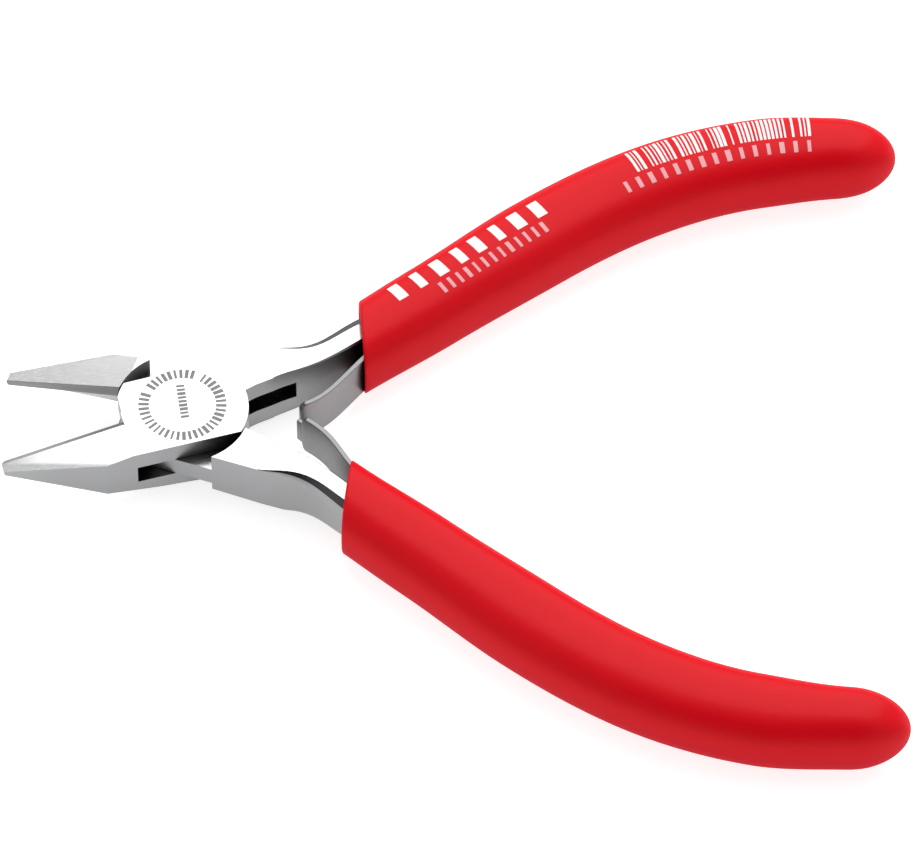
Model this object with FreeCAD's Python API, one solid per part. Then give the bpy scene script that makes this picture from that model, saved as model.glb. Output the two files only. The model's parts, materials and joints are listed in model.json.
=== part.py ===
import FreeCAD, Part
import math
import os

# Miniature diagonal cutting pliers with a box joint.
#
# Frame: the pivot's axis is Z, and z = 0 is the joint's back face.  +X runs along the centreline towards
# the handles, +Y towards the upper handle.  The pliers stand open, as their springs hold them: the outer
# half is turned HALF_OPEN one way about the pivot and the inner half the same angle the other way.
#
# Each half is first drawn in its member frame: centreline along X, its jaw below the centreline and its
# handle above it.  The outer half carries two cheeks with a window between them.  The inner half is the
# mirror image, thinned to a tongue that turns inside that window.

V = FreeCAD.Vector

# Driving dimensions, in mm and degrees.
HALF_OPEN = 18.0  # each half's turn from its member frame
JOINT_T = 7.4  # thickness of the joint
MID = JOINT_T / 2  # height of the plane halfway through the joint
JAW_LEN = 21.1  # pivot to tip
JAW_TIP_W = 0.55  # the tip is blunt, this wide in plan
JAW_TIP_HALF_T = 0.32  # half the thickness left at the tip
JAW_KINK = V(-10.3, -5.0, 0)  # where the jaw's outer face turns in towards the tip
EDGE_LEAN = 3.0  # each cutting edge leans this far over the centreline, so the jaws meet that much sooner
EDGE_GAP = 0.02  # and stays this far short of meeting the other
TIP_CORNER = 0.4  # the edge's end is cut off by this much
CHEEK_R = 7.5  # round ends of the cheeks
SHOULDER_R = 7.75  # hollow shoulders of the inner half, which run round the cheeks
WINDOW_R = 8.4  # round ends of the window
WINDOW_T = 2.6
TONGUE_T = 2.5
POCKET_LEN = 13.8  # the window's cutter runs out this far along the outer half's handle
POCKET_DEPTH = 2.3
OUTER_FLANK = 5.2  # half width of the joint, outer half
INNER_FLANK = 5.5  # half width of the joint, inner half
PIVOT_R = 2.0
PIVOT_PLAY = 0.05

BEVEL_W = 0.85  # bevel along the top of each cutting edge
BEVEL_DROP = 0.62
RELIEF_W = 4.2  # the back of the jaw is ground away this far under the cutting edge, at the throat
THROAT_X = -6.9  # where the ground faces begin
# The back face's outer corners are slanted off, on the handle's side and on the jaw's.  Sections: x, how far
# out the corner is (None for the joint's own half width), its height, and the slant's width and height.
HANDLE_FOOT = [(4.0, None, 0.0, 1.20, 1.45), (17.0, None, 0.0, 0.90, 0.90)]
JAW_FOOT = [
    (-21.1, 0.55, 3.38, 0.04, 0.04),
    (-10.3, 5.00, 0.75, 0.70, 0.70),
    (-4.3, None, 0.0, 0.70, 0.70),
    (2.0, None, 0.0, 0.05, 0.05),
]
CROWN_IN = 0.35  # the handles' outer edges are crowned: where the two slants meet, as shares of the whole
CROWN_DROP = 0.30

# Shank sections: x, inner edge, outer edge, half thickness, outer crown, inner chamfer.
NECK = [
    (11.0, 1.00, None, 3.70, 0.08, 0.08),
    (13.5, 1.36, 5.08, 3.62, 0.40, 0.10),
    (15.5, 1.64, 4.98, 3.45, 0.75, 0.12),
    (18.5, 2.45, 5.78, 3.20, 1.15, 0.15),
    (22.2, 3.75, 7.50, 2.95, 1.50, 0.25),
    (27.0, 5.45, 9.90, 2.85, 1.60, 0.60),
]
TANG = [
    NECK[-1],
    (34.0, 7.87, 12.4, 2.85, 1.60, 0.90),
    (40.0, 8.40, 14.8, 2.85, 1.60, 1.20),
    (46.0, 9.90, 17.0, 2.85, 1.60, 1.40),
    (60.0, 13.50, 20.5, 2.85, 1.60, 1.40),
    (74.0, 14.20, 20.5, 2.75, 1.60, 1.40),
    (81.0, 13.60, 18.2, 2.30, 1.50, 1.20),
]

# Sleeve: centreline through these points, with its half width at each; it ends in a round cap.
SLEEVE = [
    (14.0, 1.6, 4.2), (20.0, 3.93, 4.4), (32.0, 8.31, 4.75), (46.0, 13.46, 5.2),
    (60.0, 17.06, 5.2), (74.0, 17.3, 5.07), (85.0, 14.8, 4.3), (92.0, 12.5, 4.0),
]
SLEEVE_HALF_T = 4.4
UPPER_MOUTH_X = 22.5  # where each mouth crosses its sleeve's centreline
LOWER_MOUTH_X = 21.3
UPPER_END_R = 90.4  # pivot to the far end of each cap
LOWER_END_R = 91.6
CAP_LEN = 7.0
SLEEVE_WALL = 1.3
LIP_WALL = 0.55  # the wall thins to this under the leaf, at the mouth
LIP_X = 21.0
FULL_WALL_X = 30.0
MOUTH_TILT = 12.3  # the mouth is cut this far off square
SLEEVE_POWER = 2.6  # how square the section is: 2 is an ellipse
BORE_POWER = 4.0

LEAF_T = 0.6
LEAF_W = 5.8
# Each leaf runs from its tip to where it enters the sleeve, and its tail lies on the tang.
UPPER_LEAF = [(12.95, -3.00), (14.93, -2.62), (18.25, -0.95), (21.60, 1.30), (24.92, 3.30)]
LOWER_LEAF = [(13.35, -3.70), (14.60, -3.30), (17.00, -2.05), (20.30, 0.55), (24.92, 3.33)]
LEAF_TAIL = [(25.12, 3.42), (27.00, 4.60), (29.00, 5.60), (31.00, 6.38), (33.00, 7.10)]
LEAF_ROOM = [(18.0, -2.3), (20.1, -0.40), (21.5, 0.52), (24.9, 2.80), (28.0, 4.50), (28.0, 7.0), (18.0, 5.0)]
LEAF_ROOM_W = 6.1  # the mouth is opened this wide for the leaf to move
LIP_END = (12.40, -4.15)  # the lower leaf's tip has a narrow bent lip, which ends here
LIP_W = 3.4
SPRING_RIVET_R = 0.8
SPRING_RIVET_LEN = 2.4
RIVET_HEAD_R = 1.4
RIVET_HEAD_T = 0.5
TANG_SLOPE = 19.8  # the tang's inner edge, where the leaf is riveted on


def polygon(points, z0, height):
    """A prism on a plan polygon."""
    corners = [V(p[0], p[1], z0) for p in points]
    return Part.Face(Part.makePolygon(corners + corners[:1])).extrude(V(0, 0, height))


def disc(radius, thickness):
    """A disc on the pivot's axis, halfway up the joint."""
    return Part.makeCylinder(radius, thickness, V(0, 0, MID - thickness / 2))


def on_circle(radius, y):
    """The point of positive x on a circle about the pivot."""
    return math.sqrt(radius**2 - y**2)


def edge_y(x):
    """Where a cutting edge runs in plan."""
    return -x * math.tan(math.radians(EDGE_LEAN)) - EDGE_GAP


def joint_plan(flank):
    """The jaw and joint body in plan, with the cheeks' round ends."""
    right = V(on_circle(CHEEK_R, flank), -flank, 0)
    right_end = V(on_circle(CHEEK_R, 0.3), 0.3, 0)
    left = V(-on_circle(CHEEK_R, flank), flank, 0)
    left_end = V(-on_circle(CHEEK_R, 3.6), 3.6, 0)
    arc = CHEEK_R * math.sqrt(0.5)
    throat = [left_end, V(-6.75, 1.4, 0), V(-7.2, 0.7, 0), V(-7.9, edge_y(-7.9), 0),
              V(TIP_CORNER - JAW_LEN, edge_y(TIP_CORNER - JAW_LEN), 0),
              V(-JAW_LEN, edge_y(-JAW_LEN) - TIP_CORNER, 0)]
    handle = [right_end, V(8.9, 0.68, 0), V(NECK[0][0], NECK[0][1], 0), V(NECK[0][0], flank, 0), left]
    mid_right = V(CHEEK_R * math.cos(0.40), -CHEEK_R * math.sin(0.40), 0)
    mid_left = V(-arc * 1.12, math.sqrt(CHEEK_R**2 - (arc * 1.12) ** 2), 0)
    edges = [
        Part.makePolygon(throat + [V(-JAW_LEN, -JAW_TIP_W, 0), JAW_KINK, right]),
        Part.Wire(Part.Arc(right, mid_right, right_end).toShape()),
        Part.makePolygon(handle),
        Part.Wire(Part.Arc(left, mid_left, left_end).toShape()),
    ]
    return Part.Face(Part.Wire([e for wire in edges for e in wire.Edges]))


def jaw_side_profile():
    """The half seen from the side: the jaw thins towards its tip, above and below."""
    tip, crease, end = -JAW_LEN - 1.0, -7.2, NECK[0][0]
    slope = (MID - JAW_TIP_HALF_T) / (JAW_LEN + crease)
    tip_half = JAW_TIP_HALF_T - slope * 1.0
    upper = [(tip, MID + tip_half), (crease, JOINT_T), (end, JOINT_T)]
    lower = [(end, 0.0), (crease, 0.0), (tip, MID - tip_half)]
    corners = [V(x, -12, z) for x, z in upper + lower]
    return Part.Face(Part.makePolygon(corners + corners[:1])).extrude(V(0, 24, 0))


def ground_off(sections):
    """The solid between two plan-wise sections, to cut away."""
    solid = Part.makeLoft([Part.makePolygon(points + points[:1]) for points in sections], True, True)
    if solid.Volume < 0:
        solid.reverse()
    return solid


def jaw_edge_cuts():
    """The bevel over the cutting edge and the wide relief under it."""
    bevels, reliefs, over = [], [], 2.0
    for x, drop, width, depth in ((THROAT_X, 0.9, 1.0, 1.0), (-JAW_LEN - 0.5, 0.25, 0.6, 0.25)):
        half = JAW_TIP_HALF_T + (MID - JAW_TIP_HALF_T) * min(1.0, (x + JAW_LEN) / (JAW_LEN - 7.2))
        top, low = MID + max(half, 0.2), MID - max(half, 0.2)
        edge = top - BEVEL_DROP * drop
        inset = edge_y(x) - BEVEL_W * width
        rise = (over - edge_y(x)) * (top - edge) / (BEVEL_W * width)
        bevels.append([V(x, inset, top), V(x, over, edge - rise), V(x, over, top + over),
                       V(x, inset, top + over)])
        foot = edge_y(x) - RELIEF_W * depth
        reliefs.append([V(x, edge_y(x), edge), V(x, foot, low), V(x, foot, low - over),
                        V(x, over, low - over), V(x, over, edge)])
    return [ground_off(bevels), ground_off(reliefs)]


def foot_cuts(flank):
    """The slants along the back face's outer corners."""
    cuts = []
    for sense, ends in ((1, HANDLE_FOOT), (-1, JAW_FOOT)):
        sections = []
        for x, out, base, wide, high in ends:
            edge = out or flank
            inner, outer = sense * (edge - 2 * wide), sense * (edge + wide)
            corners = [(inner, base - high), (outer, base + 2 * high), (outer, base - high)]
            sections.append([V(x, y, z) for y, z in corners])
        cuts.append(ground_off(sections))
    return cuts


def shank_section(station, flank):
    """One ten-cornered section of the handle, across X."""
    x, inner, outer, half, c_out, c_in = station
    outer = flank if outer is None else outer
    upper = [(inner, half - c_in), (inner + c_in, half), (outer - c_out, half),
             (outer - CROWN_IN * c_out, half - CROWN_DROP * c_out), (outer, half - c_out)]
    lower = [(y, -z) for y, z in reversed(upper)]
    corners = [V(x, y, MID + z) for y, z in upper + lower]
    return Part.makePolygon(corners + corners[:1])


def half(flank):
    """Jaw, joint body and handle in one, in the member frame, before the window or tongue is cut."""
    body = joint_plan(flank).extrude(V(0, 0, JOINT_T)).common(jaw_side_profile())
    neck = Part.makeLoft([shank_section(s, flank) for s in NECK], True, False)
    tang = Part.makeLoft([shank_section(s, flank) for s in TANG], True, True)
    body = body.fuse([neck, tang])
    for cut in jaw_edge_cuts() + foot_cuts(flank):
        body = body.cut(cut)
    return body.removeSplitter()


def window():
    """The space in the outer half where the tongue turns, and its cutter's run-out along the handle."""
    z0 = MID - WINDOW_T / 2
    depth_y = 1.5 + POCKET_DEPTH
    pocket = polygon([(0, -8), (POCKET_LEN - 0.4, -8), (POCKET_LEN, -7.6), (POCKET_LEN, depth_y - 0.6),
                      (POCKET_LEN - 0.6, depth_y), (0, depth_y)], z0, WINDOW_T)
    return disc(WINDOW_R, WINDOW_T).fuse(pocket)


def outer_half():
    """Lower jaw, two cheeks and upper handle."""
    shape = half(OUTER_FLANK).cut(window())
    return shape.cut(Part.makeCylinder(PIVOT_R, JOINT_T + 2, V(0, 0, -1)))


def inner_half():
    """Upper jaw, tongue and lower handle, still in the member frame."""
    rim = Part.makeCylinder(SHOULDER_R, JOINT_T + 2, V(0, 0, -1)).cut(disc(SHOULDER_R + 1, TONGUE_T))
    shape = half(INNER_FLANK).cut(rim)
    return shape.cut(Part.makeCylinder(PIVOT_R + PIVOT_PLAY, JOINT_T + 2, V(0, 0, -1)))


def sleeve_curve():
    """The sleeve's centreline, a smooth curve in plan."""
    curve = Part.BSplineCurve()
    curve.interpolate([V(x, y, 0) for x, y, _ in SLEEVE])
    return curve


def half_width(x):
    """The sleeve's half width at x, between the stations."""
    for (x0, _, a0), (x1, _, a1) in zip(SLEEVE, SLEEVE[1:]):
        if x <= x1:
            t = (x - x0) / (x1 - x0)
            return a0 + (a1 - a0) * t * t * (3 - 2 * t)
    return SLEEVE[-1][2]


def ring(centre, across, a, b, power, count=24):
    """A closed smooth section: a squared ellipse of half width a along across and half height b."""
    points = []
    for i in range(count):
        t = 2 * math.pi * i / count
        c, s = math.cos(t), math.sin(t)
        u = a * math.copysign(abs(c) ** (2 / power), c)
        w = b * math.copysign(abs(s) ** (2 / power), s)
        points.append(centre + across * u + V(0, 0, w))
    curve = Part.BSplineCurve()
    curve.interpolate(points, PeriodicFlag=True)
    return Part.Wire(curve.toShape())


def sleeve_frame(curve, u):
    """Point and sideways direction on the centreline."""
    point, along = curve.value(u), curve.tangent(u)[0]
    return point, V(-along.y, along.x, 0)


def sleeve_body(end_r):
    """The sleeve's outside: sections along the centreline, closing in a round cap."""
    curve = sleeve_curve()
    first, total = curve.FirstParameter, curve.length()
    end = next(s for s in (total * i / 2000 for i in range(2000))
               if curve.value(curve.parameterAtDistance(s, first)).Length > end_r)
    cap_start = end - CAP_LEN
    places = [cap_start * i / 13 for i in range(14)]
    places += [cap_start + CAP_LEN * math.sin(math.radians(angle)) for angle in (25, 45, 62, 75, 84)]
    rings = []
    for s in places:
        shrink = math.sqrt(max(0.0, 1 - (max(0.0, s - cap_start) / CAP_LEN) ** 2))
        point, across = sleeve_frame(curve, curve.parameterAtDistance(s, first))
        rings.append(ring(point + V(0, 0, MID), across, half_width(point.x) * shrink,
                          SLEEVE_HALF_T * shrink, SLEEVE_POWER))
    return Part.makeLoft(rings, True, False)


def sleeve_bore():
    """The sleeve's inside, with room for the leaf along its inner side."""
    curve = sleeve_curve()
    rings = []
    for x in (16.0, LIP_X, 24.5, FULL_WALL_X, 38.0, 46.0, 60.0, 73.0, 82.5):
        low, high = curve.FirstParameter, curve.LastParameter
        for _ in range(40):
            u = (low + high) / 2
            low, high = (u, high) if curve.value(u).x < x else (low, u)
        point, across = sleeve_frame(curve, u)
        tall = half_width(x) / across.y
        share = min(1.0, max(0.0, (x - LIP_X) / (FULL_WALL_X - LIP_X)))
        inner = point.y - tall + LIP_WALL + (SLEEVE_WALL - LIP_WALL) * share
        outer = point.y + tall - SLEEVE_WALL
        centre = V(x, (inner + outer) / 2, MID)
        taper = 1.0 if x < 80 else 0.85
        rings.append(ring(centre, V(0, 1, 0), (outer - inner) / 2 * taper,
                          (SLEEVE_HALF_T - SLEEVE_WALL) * taper, BORE_POWER))
    return Part.makeLoft(rings, True, False)


def sleeve(mouth_x, end_r):
    """One grip: a dipped sleeve, cut slantwise at its mouth and flat where the two would meet."""
    tilt = math.tan(math.radians(MOUTH_TILT))
    beyond = 20.0
    mouth = polygon([(mouth_x - beyond * tilt, 4.6 - beyond), (mouth_x + beyond * tilt, 4.6 + beyond),
                     (0, 4.6 + beyond), (0, 4.6 - beyond)], MID - 10, 20)
    meeting = polygon([(12, -4.2), (20.1, -0.55), (21.4, 0.03), (40, 0.03), (40, -9), (12, -9)],
                      MID - 10, 20)
    leaf_room = polygon(LEAF_ROOM, MID - LEAF_ROOM_W / 2, LEAF_ROOM_W)
    return sleeve_body(end_r).cut(sleeve_bore().fuse(leaf_room)).cut(mouth).cut(meeting)


def leaf_outline(points, side):
    """One face of a leaf: the smooth curve through points, moved half the thickness to one side."""
    curve = Part.BSplineCurve()
    curve.interpolate([V(x, y, 0) for x, y in points])
    moved = []
    for i in range(9):
        u = curve.FirstParameter + (curve.LastParameter - curve.FirstParameter) * i / 8
        point, along = curve.value(u), curve.tangent(u)[0]
        moved.append(point + V(-along.y, along.x, 0) * (side * LEAF_T / 2))
    face = Part.BSplineCurve()
    face.interpolate(moved)
    return face


def leaf(points, width):
    """A strip of spring steel on edge, along points in plan."""
    left, right = leaf_outline(points, 1), leaf_outline(points, -1)
    ends = [Part.LineSegment(left.EndPoint, right.EndPoint),
            Part.LineSegment(right.StartPoint, left.StartPoint)]
    wire = Part.Wire(Part.__sortEdges__([c.toShape() for c in (left, right, *ends)]))
    wire.translate(V(0, 0, MID - width / 2))
    return Part.Face(wire).extrude(V(0, 0, width))


def lip():
    """The narrow bent end of the lower leaf."""
    tip, end = V(*LOWER_LEAF[0], 0), V(*LIP_END, 0)
    along = (end - tip).normalize()
    aside = V(-along.y, along.x, 0) * (LEAF_T / 2)
    start = tip - along * 0.25
    corners = [start + aside, end + aside, end - aside, start - aside]
    return polygon([(p.x, p.y) for p in corners], MID - LIP_W / 2, LIP_W)


def spring_rivet():
    """The rivet that holds a leaf's tail on the tang, its head towards the centreline."""
    slope = math.radians(TANG_SLOPE)
    outward = V(-math.sin(slope), math.cos(slope), 0)
    seat = V(*LEAF_TAIL[3], MID) - outward * (LEAF_T / 2)
    shank = Part.makeCylinder(SPRING_RIVET_R, SPRING_RIVET_LEN, seat, outward)
    head = Part.makeCylinder(RIVET_HEAD_R, RIVET_HEAD_T, seat - outward * RIVET_HEAD_T, outward)
    return shank.fuse(head).removeSplitter()


def place_outer(shape):
    """Turn a shape of the outer half from its member frame to where it stands open."""
    placed = shape.copy()
    placed.rotate(V(0, 0, 0), V(0, 0, 1), HALF_OPEN)
    return placed


def place_inner(shape):
    """Mirror a shape to the inner half's side and turn it to where it stands open."""
    placed = shape.mirror(V(0, 0, 0), V(0, 1, 0))
    placed.rotate(V(0, 0, 0), V(0, 0, 1), -HALF_OPEN)
    return placed


def build():
    """Every piece by its node's name, where it stands with the pliers open."""
    rivet = spring_rivet()
    tail = leaf(LEAF_TAIL, LEAF_W).cut(rivet)
    lower_blade = leaf(LOWER_LEAF, LEAF_W).fuse(lip()).removeSplitter()
    return {
        "outer_half": place_outer(outer_half().cut(rivet)),
        "inner_half": place_inner(inner_half().cut(rivet)),
        "pivot_rivet": Part.makeCylinder(PIVOT_R, JOINT_T),
        "upper_grip": place_outer(sleeve(UPPER_MOUTH_X, UPPER_END_R)),
        "lower_grip": place_inner(sleeve(LOWER_MOUTH_X, LOWER_END_R)),
        "upper_spring_blade": place_outer(leaf(UPPER_LEAF, LEAF_W)),
        "lower_spring_blade": place_inner(lower_blade),
        "upper_spring_tail": place_outer(tail),
        "lower_spring_tail": place_inner(tail),
        "upper_spring_rivet": place_outer(rivet),
        "lower_spring_rivet": place_inner(rivet),
    }


os.makedirs("parts", exist_ok=True)
for node, shape in build().items():
    if len(shape.Solids) != 1 or not shape.isValid():
        raise SystemExit(f"{node}: {len(shape.Solids)} solids, valid {shape.isValid()}")
    shape.Solids[0].exportStep(f"parts/{node}.step")
    box = shape.BoundBox
    print(f"{node:20s} {shape.Volume:8.1f} mm3  x {box.XMin:6.2f} {box.XMax:6.2f}"
          f"  y {box.YMin:6.2f} {box.YMax:6.2f}  z {box.ZMin:5.2f} {box.ZMax:5.2f}")
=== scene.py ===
"""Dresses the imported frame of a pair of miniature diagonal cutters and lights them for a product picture.

Lengths are millimetres wherever a name or docstring doesn't say metres.  A piece that belongs to one half
is drawn in that half's member frame: centreline along +X, jaw below it and handle above it.  Side.place()
mirrors and turns it to where the half stands with the pliers open.
"""

import json
import logging
import math
from dataclasses import dataclass, field
from enum import Enum
from typing import Callable, Sequence

import bmesh
import bpy
import numpy as np
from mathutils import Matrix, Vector

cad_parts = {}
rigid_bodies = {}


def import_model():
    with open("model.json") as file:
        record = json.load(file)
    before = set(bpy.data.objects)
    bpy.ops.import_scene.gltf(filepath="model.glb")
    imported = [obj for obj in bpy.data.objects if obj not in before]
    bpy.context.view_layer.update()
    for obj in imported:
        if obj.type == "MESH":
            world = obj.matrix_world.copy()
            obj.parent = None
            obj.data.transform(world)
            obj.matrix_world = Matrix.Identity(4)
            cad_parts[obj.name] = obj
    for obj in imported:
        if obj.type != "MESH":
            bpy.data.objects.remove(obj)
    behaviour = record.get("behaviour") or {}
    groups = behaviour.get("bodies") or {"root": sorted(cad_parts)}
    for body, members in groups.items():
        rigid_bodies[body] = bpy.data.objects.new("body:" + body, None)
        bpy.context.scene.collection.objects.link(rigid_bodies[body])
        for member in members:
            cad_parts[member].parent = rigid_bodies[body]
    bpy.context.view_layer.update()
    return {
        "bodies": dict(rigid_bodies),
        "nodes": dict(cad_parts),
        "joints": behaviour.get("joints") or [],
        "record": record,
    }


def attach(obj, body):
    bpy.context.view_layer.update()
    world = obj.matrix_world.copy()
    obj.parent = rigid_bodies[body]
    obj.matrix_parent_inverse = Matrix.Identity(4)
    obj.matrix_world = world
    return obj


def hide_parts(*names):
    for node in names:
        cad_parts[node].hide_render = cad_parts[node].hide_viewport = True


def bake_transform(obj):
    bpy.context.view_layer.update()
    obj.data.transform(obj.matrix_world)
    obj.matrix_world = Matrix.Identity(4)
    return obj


MM = 0.001
HALF_OPEN = math.radians(18.0)
JOINT_T = 7.4
MID = JOINT_T / 2
log = logging.getLogger("cutters")

Array = np.ndarray
Span = tuple[float, float]
Colour = tuple[float, float, float]


class Side(Enum):
    """The two halves, by where their handles lie: piece prefix, body, blade's body and turning sense."""

    UPPER = ("upper", "outer", "upper_blade", 1)
    LOWER = ("lower", "inner", "lower_blade", -1)

    @property
    def prefix(self) -> str:
        """What the side's piece and node names start with."""
        return self.value[0]

    @property
    def body(self) -> str:
        """The CAD body of this half."""
        return self.value[1]

    @property
    def blade_body(self) -> str:
        """The CAD body of this half's spring blade."""
        return self.value[2]

    @property
    def sense(self) -> int:
        """1 for the outer half, and -1 for the inner half, which is its mirror image."""
        return self.value[3]

    def place(self, points: Array) -> Array:
        """Member frame to row frame.

        Args:
            points: rows of x, y, z in mm in the member frame.

        Returns:
            Rows of x, y, z in metres in the row frame, with the pliers open.
        """
        p = np.asarray(points, float).reshape(-1, 3)
        turn = HALF_OPEN * self.sense
        y = p[:, 1] * self.sense
        c, s = math.cos(turn), math.sin(turn)
        return np.column_stack([c * p[:, 0] - s * y, s * p[:, 0] + c * y, p[:, 2]]) * MM


class Slot(Enum):
    """The record's material slots."""

    STEEL = "tool_steel"
    SPRING = "spring_steel"
    VINYL = "grip_vinyl"


# --------------------------------------------------------------------------------------------- helpers


def spline(knots: Array, values: Array) -> Callable[[Array], Array]:
    """A natural cubic spline.

    Args:
        knots: rising parameter values.
        values: one row for each knot.

    Returns:
        A function from parameters to rows.
    """
    t, v = np.asarray(knots, float), np.asarray(values, float).reshape(len(knots), -1)
    h = np.diff(t)
    n = len(t)
    system, right = np.eye(n), np.zeros_like(v)
    for i in range(1, n - 1):
        system[i, i - 1:i + 2] = h[i - 1], 2 * (h[i - 1] + h[i]), h[i]
        right[i] = 6 * ((v[i + 1] - v[i]) / h[i] - (v[i] - v[i - 1]) / h[i - 1])
    m = np.linalg.solve(system, right)

    def at(u: Array) -> Array:
        """The spline's rows at u."""
        u = np.atleast_1d(np.asarray(u, float))
        i = np.clip(np.searchsorted(t, u) - 1, 0, n - 2)
        a, b, w = (t[i + 1] - u)[:, None], (u - t[i])[:, None], h[i][:, None]
        return (m[i] * a**3 + m[i + 1] * b**3) / (6 * w) + (v[i] / w - m[i] * w / 6) * a + (
            v[i + 1] / w - m[i + 1] * w / 6) * b

    return at


def chord(points: Array) -> Array:
    """The running chord length along rows of points."""
    return np.r_[0.0, np.cumsum(np.linalg.norm(np.diff(points, axis=0), axis=1))]


def squared(angle: Array, power: float) -> tuple[Array, Array]:
    """Width and height of a squared ellipse of half sizes 1.

    Args:
        angle: angles round the section, in radians.
        power: 2 for an ellipse, more for a squarer one.

    Returns:
        The two coordinates at each angle.
    """
    c, s = np.cos(angle), np.sin(angle)
    return np.sign(c) * np.abs(c) ** (2 / power), np.sign(s) * np.abs(s) ** (2 / power)


def new_mesh(name: str, verts: Array, faces: Sequence[Sequence[int]]) -> bpy.types.Object:
    """A mesh object at the origin with its normals pointing out.

    Args:
        name: the object's name.
        verts: rows of x, y, z in metres.
        faces: vertex numbers of each face.

    Returns:
        The linked object.
    """
    mesh = bpy.data.meshes.new(name)
    mesh.from_pydata([tuple(map(float, v)) for v in verts], [], [tuple(map(int, f)) for f in faces])
    bm = bmesh.new()
    bm.from_mesh(mesh)
    bmesh.ops.remove_doubles(bm, verts=bm.verts, dist=1e-7)
    bmesh.ops.recalc_face_normals(bm, faces=bm.faces)
    bm.to_mesh(mesh)
    bm.free()
    obj = bpy.data.objects.new(name, mesh)
    bpy.context.collection.objects.link(obj)
    return obj


def apply_modifiers(obj: bpy.types.Object) -> bpy.types.Object:
    """Bake an object's modifiers into its mesh and remove them.

    Args:
        obj: a mesh object at the origin.

    Returns:
        The same object.
    """
    baked = bpy.data.meshes.new_from_object(obj.evaluated_get(bpy.context.evaluated_depsgraph_get()))
    obj.modifiers.clear()
    obj.data = baked
    return obj


def smooth(obj: bpy.types.Object, degrees: float = 35.0) -> bpy.types.Object:
    """Shade smooth, with edges sharper than the angle left crisp.

    Args:
        obj: a mesh object.
        degrees: the angle.

    Returns:
        The same object.
    """
    obj.data.shade_smooth()
    bm = bmesh.new()
    bm.from_mesh(obj.data)
    limit = math.radians(degrees)
    for edge in bm.edges:
        edge.smooth = len(edge.link_faces) == 2 and edge.calc_face_angle(0.0) < limit
    bm.to_mesh(obj.data)
    bm.free()
    return obj


def flatten(obj: bpy.types.Object, degrees: float = 32.0) -> bpy.types.Object:
    """Shade rounded edges smooth while the large faces between them stay flat.

    Args:
        obj: a mesh object.
        degrees: edges sharper than this stay crisp.

    Returns:
        The same object.
    """
    smooth(obj, degrees)
    weighted = obj.modifiers.new("weighted", "WEIGHTED_NORMAL")
    weighted.keep_sharp = True
    weighted.weight = 80
    return apply_modifiers(obj)


def round_edges(obj: bpy.types.Object, width: float, degrees: float = 28.0) -> bpy.types.Object:
    """Round a mesh's sharp edges for good.

    Args:
        obj: a mesh object.
        width: the rounding's width in mm.
        degrees: edges sharper than this are rounded.

    Returns:
        The same object.
    """
    bevel = obj.modifiers.new("rounding", "BEVEL")
    bevel.width = width * MM
    bevel.segments = 3
    bevel.limit_method = "ANGLE"
    bevel.angle_limit = math.radians(degrees)
    bevel.use_clamp_overlap = True
    bevel.miter_outer = "MITER_ARC"
    return apply_modifiers(obj)


def dress(obj: bpy.types.Object, material: bpy.types.Material) -> bpy.types.Object:
    """Give an object one material.

    Args:
        obj: the piece.
        material: its finish.

    Returns:
        The same object.
    """
    obj.data.materials.clear()
    obj.data.materials.append(material)
    return obj


# -------------------------------------------------------------------------------------------- finishes


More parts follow.
